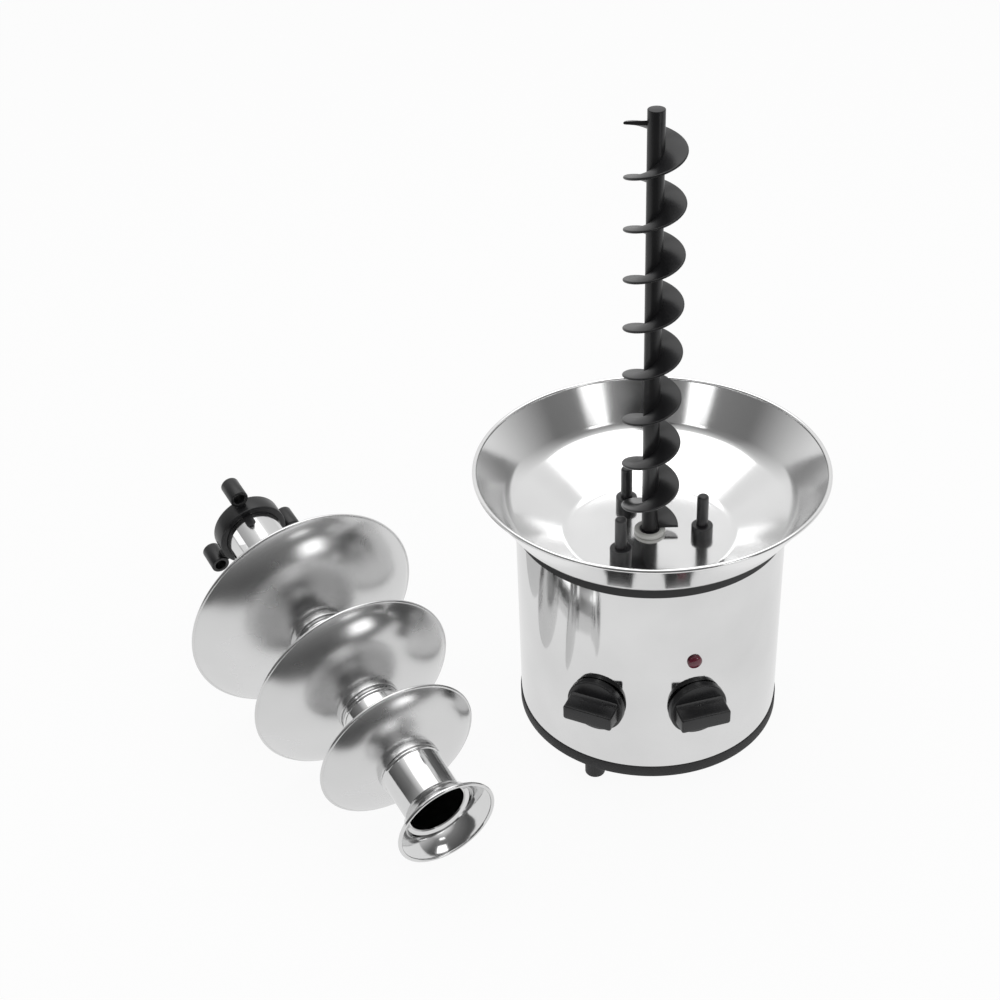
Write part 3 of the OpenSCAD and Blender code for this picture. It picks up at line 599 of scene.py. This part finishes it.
def lens():
    """Domed lamp lens on its stem."""
    stem_r, stem_l, rim_h, dome_h, steps = lens_r - 1.2, 6, 1, 2, 10
    turns = [math.pi / 2 * k / steps for k in range(steps)]
    dome = [(lens_r * math.cos(a), rim_h + dome_h * math.sin(a)) for a in turns]
    stem = [(0, -stem_l), (stem_r, -stem_l), (stem_r, seat_gap), (lens_r, seat_gap)]
    return lathe(stem + dome + [(0, rim_h + dome_h)], closed=False, steps=SMALL)


def gland():
    """Cord gland at the rear: a flange, a tapered nose and the neck that passes the wall."""
    bore, neck_r, nose_r, flange_r = 4, 6.8, 8.4, 10
    neck_l, flange_t, nose_from, nose_l, edge = 14, 3, 3.4, 8, 0.5
    outline = [(bore, -neck_l), (neck_r, -neck_l), (neck_r, seat_gap), (flange_r, seat_gap),
               (flange_r, flange_t), (nose_r, nose_from), (neck_r, nose_l), (bore, nose_l)]
    return lathe(eased(outline, edge, (4, 6, 7), 4), steps=SMALL)


# Tower
def hub_height(tier):
    """Height of a canopy's hub on its tube."""
    return tier["at"] + tier["rise"]


def joint_height(tier):
    """Height of the tube joint above a canopy's hub."""
    return hub_height(tier) + hub_half + joint_above


def bead_under(tier):
    """Height of the bead that a canopy's hub rests on."""
    return hub_height(tier) - hub_half - bead_r


def beaded(r, z0, z1, beads):
    """Outer line of a tube, raised into a rolled bead at each height."""
    sink, swell, foot_reach, half_sweep = 0.1, 1.02 * bead_r, 1.25 * bead_r, 78
    line = [(r, z0)]
    for z in beads:
        bead = arc(r - sink, z, swell, -half_sweep, half_sweep, 12)
        line += [(r, z - foot_reach)] + bead + [(r, z + foot_reach)]
    return line + [(r, z1)]


def lower_tube():
    """Lowest tube, with three slots above the collar."""
    slot_above, slot_turn, slot_half_steps = 4, 40, 4
    wall = tube_t - slip_gap
    slot_z0 = ring_at + ring_h + slot_above
    slot_z1 = slot_z0 + slot_l
    bm = bmesh.new()
    line = beaded(lower_r, slot_z1, joint_height(large), [bead_under(large)])
    turned(bm, [(lower_r, ring_at), (lower_r, slot_z0)] + line, closed=False)
    third = math.radians(120)
    half = 2 * math.pi / FINE * slot_half_steps
    slots = []
    for f in bm.faces:
        centre = f.calc_center_median()
        turn = math.atan2(centre.y, centre.x) % third
        if slot_z0 < centre.z < slot_z1 and min(turn, third - turn) < half:
            slots.append(f)
    bmesh.ops.delete(bm, geom=slots, context="FACES")
    bmesh.ops.recalc_face_normals(bm, faces=bm.faces)
    bmesh.ops.solidify(bm, geom=bm.faces[:], thickness=wall)
    bm.transform(Matrix.Rotation(math.radians(tower_spin + slot_turn), 4, "Z"))
    return bm


def middle_tube():
    """Middle tube: a spigot in the lower one, and a widened mouth for the upper one."""
    narrow_end, wide_start = 3.5, 2
    joint, top = joint_height(large), joint_height(medium)
    low = joint - spigot_l
    step = top - spigot_l
    bore, mouth_bore = upper_r - tube_t, upper_r + slip_gap
    outer = beaded(upper_r - seat_gap, low, step - narrow_end, [joint + bead_r])
    mouth = beaded(lower_r, step - wide_start, top, [bead_under(medium)])
    return lathe(outer + mouth + [(mouth_bore, top), (mouth_bore, step), (bore, step), (bore, low)])


def upper_tube():
    """Upper tube, from its spigot to the crown."""
    spigot_short, in_crown = 0.5, 2.5
    joint, bore = joint_height(medium), upper_r - tube_t
    low = joint - spigot_l + spigot_short
    top = crown_at + in_crown
    bead_over = hub_height(small) + hub_half + bead_r
    outer = beaded(upper_r, low, top, [joint + bead_r, bead_under(small), bead_over])
    return lathe(outer + [(bore, top), (bore, low)])


def canopy(tier):
    """Spun dome, an arc of an ellipse in section, with a rolled edge and a short hub round its tube."""
    steps, in_hub, hub_edge = 40, 0.5, 0.45
    edge = tier["r"] - canopy_roll + canopy_t / 2
    hub = hub_height(tier)
    hub_in = tier["tube"] + slip_gap
    hub_out = hub_in + hub_t
    first = math.radians(dome_from)
    wide = edge / math.cos(first)
    tall = tier["rise"] / (1 - math.sin(first))
    last = math.acos((hub_out - in_hub) / wide)
    turns = [first + (last - first) * k / steps for k in range(steps + 1)]
    dome = [(wide * math.cos(a), hub - tall * (1 - math.sin(a))) for a in turns]
    bm = lathe(walled(dome, canopy_t))
    turned(bm, rolled(tier["r"] - canopy_roll, tier["at"], canopy_roll))
    turned(bm, ring_outline(hub_in, hub_out, hub - hub_half, hub + hub_half, hub_edge))
    return bm


def crown_cup():
    """Flared cup at the top of the tower, with a rolled lip."""
    neck, t = upper_r + seat_gap, 1
    step_r, step_z, in_roll, lip_thin = 2.4, 3, 0.5, 0.4
    belly_r, belly_out, belly_in = 5, 0.6 * crown_h, 0.65 * crown_h
    roll_r, roll_z = crown_r - crown_roll, crown_at + crown_h - crown_roll
    outer = bent((neck + t + step_r, crown_at + step_z), (neck + t + belly_r, crown_at + belly_out),
                 (roll_r, roll_z - in_roll), 16)
    inner = bent((neck + step_r, crown_at + step_z + t), (neck + belly_r - lip_thin, crown_at + belly_in),
                 (roll_r - lip_thin, roll_z + in_roll), 16)
    bm = lathe([(neck + t, crown_at)] + outer + inner[::-1] + [(neck, crown_at + step_z), (neck, crown_at)])
    turned(bm, rolled(roll_r, roll_z, crown_roll))
    return bm


def tongue(bm):
    """Flat spring tongue that lies along the lower tube, with a rounded end."""
    half, tip_half, t, length, in_ring = 3.5, 0.3, 1.7, 8, 1
    r = lower_r + slip_gap
    start = ring_at + in_ring
    end = ring_at + ring_h + length
    made = bmesh.ops.create_grid(bm, x_segments=10, y_segments=20, size=0.5)
    for v in made["verts"]:
        z = start + (v.co.y + 0.5) * (end + half - start)
        beyond = max(0.0, z - end)
        width = math.sqrt(max(half ** 2 - beyond ** 2, tip_half ** 2))
        turn = 2 * v.co.x * width / r
        v.co = Vector((r * math.cos(turn), r * math.sin(turn), z))
    faces = list({f for v in made["verts"] for f in v.link_faces})
    bmesh.ops.recalc_face_normals(bm, faces=faces)
    bmesh.ops.solidify(bm, geom=faces, thickness=-t)


def socket_arm(bm):
    """Block that joins a socket to the collar's ring."""
    arm_w, in_ring, in_socket, inset, edge = 7, 2, 0.8, 1, 0.6
    r_from, r_to = lower_r + in_ring, post_circle - socket_r + in_socket
    z_from, z_to = ring_at + inset, socket_l - inset
    arm = bmesh.ops.create_cube(bm, size=1)["verts"]
    bmesh.ops.scale(bm, verts=arm, vec=(r_to - r_from, arm_w, z_to - z_from))
    bmesh.ops.translate(bm, verts=arm, vec=((r_from + r_to) / 2, 0, (z_from + z_to) / 2))
    edges = list({e for v in arm for e in v.link_edges})
    bmesh.ops.bevel(bm, geom=edges, offset=edge, offset_type="OFFSET", segments=3, profile=0.5,
                    affect="EDGES", material=-1)


def collar():
    """Black collar round the tower's foot: a ring, three tubular sockets on arms, and three tongues."""
    ring_t, ring_edge, socket_edge = 5, 0.8, 0.6
    r_in = lower_r + seat_gap
    bm = bmesh.new()
    turned(bm, ring_outline(r_in, r_in + ring_t, ring_at, ring_at + ring_h, ring_edge))
    for k in range(3):
        part = bmesh.new()
        turned(part, ring_outline(socket_in, socket_r, 0, socket_l, socket_edge), steps=SMALL)
        bmesh.ops.translate(part, verts=part.verts, vec=(post_circle, 0, 0))
        socket_arm(part)
        tongue(part)
        part.transform(Matrix.Rotation(math.radians(120 * k), 4, "Z"))
        mesh = bpy.data.meshes.new("collar_third")
        part.to_mesh(mesh)
        part.free()
        bm.from_mesh(mesh)
        bpy.data.meshes.remove(mesh)
    bm.transform(Matrix.Rotation(math.radians(tower_spin), 4, "Z"))
    return bm


# The pieces, each on its body and in place of its CAD node
place_piece("shell", shell_wall(), "base", ["body_shell"], shell_steel)
place_piece("trim", trim_ring(), "base", ["bottom_trim_ring"], black_rubber)
place_piece("gasket", gasket(), "base", ["bowl_gasket"], black_rubber)
place_piece("bowl_dish", bowl(), "base", ["bowl"], bowl_steel)
place_piece("boss", boss(), "base", ["shaft_bush"], black_plastic)
place_piece("washer", washer(), "base", ["thrust_washer"], pale_plastic)
place_piece("gland", gland(), "base", ["cord_gland"], black_plastic,
            on_panel(180, gland_z))
place_piece("lens", lens(), "base", ["lamp_lens"], lamp_red(), on_panel(lamp_angle, lamp_z))
for k in range(3):
    foot_low, foot_high = span(f"foot_{k + 1}")
    middle = (foot_low + foot_high) / 2
    place_piece(f"rubber_foot_{k + 1}", foot(), "base", [f"foot_{k + 1}"], black_rubber,
                Matrix.Translation((middle.x, middle.y, 0)))
    place_piece(f"post_{k + 1}", post(), "base", [f"support_post_{k + 1}"], black_plastic,
                round_axis(post_turn + 120 * k, post_circle))
place_piece("screw_auger", auger(), "auger", ["auger"], black_plastic)
for name, side in (("motor_knob", -1), ("heat_knob", 1)):
    place_piece(f"{name}_grip", knob(), name, [name], knob_black,
                on_panel(side * knob_angle, knob_z))
place_piece("collar", collar(), "tower_bottom", ["tower_collar"], black_plastic, tower)
place_piece("tube_lower", lower_tube(), "tower_bottom", ["lower_tube"], tube_steel, tower)
place_piece("dome_large", canopy(large), "tower_bottom", ["canopy_large"], canopy_steel, tower)
place_piece("tube_middle", middle_tube(), "tower_middle", ["middle_tube"], tube_steel, tower)
place_piece("dome_medium", canopy(medium), "tower_middle", ["canopy_medium"], canopy_steel, tower)
place_piece("tube_upper", upper_tube(), "tower_top", ["upper_tube"], tube_steel, tower)
place_piece("dome_small", canopy(small), "tower_top", ["canopy_small"], canopy_steel, tower)
place_piece("crown", crown_cup(), "tower_top", ["crown_cup"], tube_steel, tower)

# The pieces inside the drum keep their own shape and get a finish
slot_of = {part["node"]: part["material_slot"] for part in frame["record"]["subparts"]}
for node, shape in frame["nodes"].items():
    if slot_of[node] in hidden_finishes and shape.type == "MESH":
        shape.data.materials.clear()
        shape.data.materials.append(hidden_finishes[slot_of[node]])


# Studio, in metres
def light_path(tree, names):
    """1 for rays of the named kinds."""
    path = tree.nodes.new("ShaderNodeLightPath")
    value = path.outputs[names[0]]
    for name in names[1:]:
        node = tree.nodes.new("ShaderNodeMath")
        node.operation = "MAXIMUM"
        tree.links.new(value, node.inputs[0])
        tree.links.new(path.outputs[name], node.inputs[1])
        value = node.outputs["Value"]
    return value


def mixed(tree, share, first, second):
    """Two shaders mixed by a share that another node gives, or by a plain number."""
    node = tree.nodes.new("ShaderNodeMixShader")
    if isinstance(share, float):
        node.inputs["Fac"].default_value = share
    else:
        tree.links.new(share, node.inputs["Fac"])
    tree.links.new(first, node.inputs[1])
    tree.links.new(second, node.inputs[2])
    return node.outputs["Shader"]


def white_table():
    """Matt white that keeps the shadow, and that the steel mirrors as far as a slanting front edge."""
    # Across from edge_from to edge_to: how far in front of the base the mirrored table ends
    edge_from, edge_to, soft = -0.6, 0.1, 0.02
    front_edge = [(0.0, 0.86), (0.17, 0.73), (0.507, 0.44), (0.65, 0.33), (0.72, 0.32), (0.80, 0.42)]
    mirrored_room, mirrored_table, white_share = 0.1, 0.87, 0.93
    finish, tree, shader, where = new_finish("white_table")
    shader.inputs["Base Color"].default_value = (0.9, 0.9, 0.9, 1)
    shader.inputs["Roughness"].default_value = 0.9
    shader.inputs["Specular IOR Level"].default_value = 0.0
    matt = shader.outputs["BSDF"]
    x, y, _ = axes_of(tree, where)
    behind_edge = tree.nodes.new("ShaderNodeMath")
    behind_edge.operation = "ADD"
    tree.links.new(y, behind_edge.inputs[0])
    tree.links.new(graded(tree, ranged(tree, x, edge_from, edge_to), front_edge), behind_edge.inputs[1])
    on_table = ranged(tree, behind_edge.outputs["Value"], -soft, soft)
    mirrored = tree.nodes.new("ShaderNodeEmission")
    tree.links.new(graded(tree, on_table, [(0, mirrored_room), (1, mirrored_table)]),
                   mirrored.inputs["Color"])
    white = tree.nodes.new("ShaderNodeEmission")
    white.inputs["Color"].default_value = (1, 1, 1, 1)
    pictured = mixed(tree, white_share, matt, white.outputs["Emission"])
    shown = mixed(tree, light_path(tree, ["Is Camera Ray"]), matt, pictured)
    surface = mixed(tree, light_path(tree, MIRROR_RAYS), shown, mirrored.outputs["Emission"])
    tree.links.new(surface, tree.nodes["Material Output"].inputs["Surface"])
    return finish


def studio_table():
    """Flat table just under the feet."""
    half_width, drop = 4, 0.0005
    bm = bmesh.new()
    bmesh.ops.create_grid(bm, x_segments=1, y_segments=1, size=half_width)
    bmesh.ops.translate(bm, verts=bm.verts, vec=(0, 0, -drop))
    mesh = bpy.data.meshes.new("table")
    bm.to_mesh(mesh)
    bm.free()
    mesh.materials.append(white_table())
    table = bpy.data.objects.new("table", mesh)
    scene.collection.objects.link(table)


def studio_world():
    """White round the picture; in the steel, a pale wall behind the object and a dim room in front."""
    # Greys by height, from below the horizon to the zenith, and where the room turns into the wall
    lowest, zenith, room_end, wall_start, ambient_light = -0.3, 1.0, -0.2, 0.6, 0.55
    room_greys = [(0.0, 0.05), (0.25, 0.09), (0.55, 0.16), (0.76, 0.24), (0.93, 0.85), (1.0, 1.0)]
    wall_greys = [(0.0, 0.5), (0.23, 0.76), (0.70, 0.84), (0.88, 1.0)]
    world = bpy.data.worlds.new("studio")
    scene.world = world
    world.use_nodes = True
    tree = world.node_tree
    tree.nodes.clear()
    output = tree.nodes.new("ShaderNodeOutputWorld")
    _, y, z = axes_of(tree, tree.nodes.new("ShaderNodeTexCoord").outputs["Generated"])
    height = ranged(tree, z, lowest, zenith)
    both = tree.nodes.new("ShaderNodeMixRGB")
    tree.links.new(ranged(tree, y, room_end, wall_start), both.inputs["Fac"])
    tree.links.new(graded(tree, height, room_greys), both.inputs["Color1"])
    tree.links.new(graded(tree, height, wall_greys), both.inputs["Color2"])
    mirrored, white, ambient = (tree.nodes.new("ShaderNodeBackground") for _ in range(3))
    tree.links.new(both.outputs["Color"], mirrored.inputs["Color"])
    white.inputs["Color"].default_value = (1, 1, 1, 1)
    ambient.inputs["Color"].default_value = (1, 1, 1, 1)
    ambient.inputs["Strength"].default_value = ambient_light
    unseen = mixed(tree, light_path(tree, MIRROR_RAYS), ambient.outputs["Background"],
                   mirrored.outputs["Background"])
    surface = mixed(tree, light_path(tree, ["Is Camera Ray"]), unseen, white.outputs["Background"])
    tree.links.new(surface, output.inputs["Surface"])


def softbox(name, azimuth, elevation, away, width, height, power, shape="RECTANGLE"):
    """Area lamp seen from the object at an azimuth from the front and an elevation, in degrees."""
    aim = Vector((0, 0, 0.15))
    a, e = math.radians(azimuth), math.radians(elevation)
    towards = Vector((math.sin(a) * math.cos(e), -math.cos(a) * math.cos(e), math.sin(e)))
    lamp = bpy.data.lights.new(name, "AREA")
    lamp.shape = shape
    lamp.size = width
    lamp.size_y = height
    lamp.energy = power
    holder = bpy.data.objects.new(name, lamp)
    scene.collection.objects.link(holder)
    holder.location = aim + towards * away
    holder.rotation_euler = towards.to_track_quat("Z", "Y").to_euler()


def photo_camera():
    """Camera at the photograph's place, its view turned by yaw, pitch and roll."""
    place = (0, -0.92137, 0.80666)
    yaw, pitch, roll = math.radians(-6.35), math.radians(34.03), math.radians(-2.60)
    ahead = Vector((math.sin(yaw) * math.cos(pitch), math.cos(yaw) * math.cos(pitch), -math.sin(pitch)))
    level = Vector((math.cos(yaw), -math.sin(yaw), 0))
    above = level.cross(ahead)
    right = math.cos(roll) * level + math.sin(roll) * above
    up = -math.sin(roll) * level + math.cos(roll) * above
    turn = Matrix((right, up, -ahead)).transposed()
    camera = bpy.data.cameras.new("photo_camera")
    camera.sensor_width = 36
    camera.lens = 58.70
    holder = bpy.data.objects.new("photo_camera", camera)
    scene.collection.objects.link(holder)
    holder.matrix_world = Matrix.Translation(place) @ turn.to_4x4()
    scene.camera = holder


studio_table()
studio_world()
softbox("window_right", azimuth=49, elevation=9, away=1.6, width=0.46, height=0.5, power=1.6)
softbox("box_right", azimuth=45, elevation=39, away=1.6, width=0.40, height=0.20, power=0.42)
softbox("box_left", azimuth=-37, elevation=40, away=1.6, width=0.40, height=0.20, power=0.42)
softbox("top_disc", azimuth=180, elevation=80, away=1.7, width=2.4, height=2.4, power=12, shape="DISK")
photo_camera()
scene.view_settings.view_transform = "Standard"
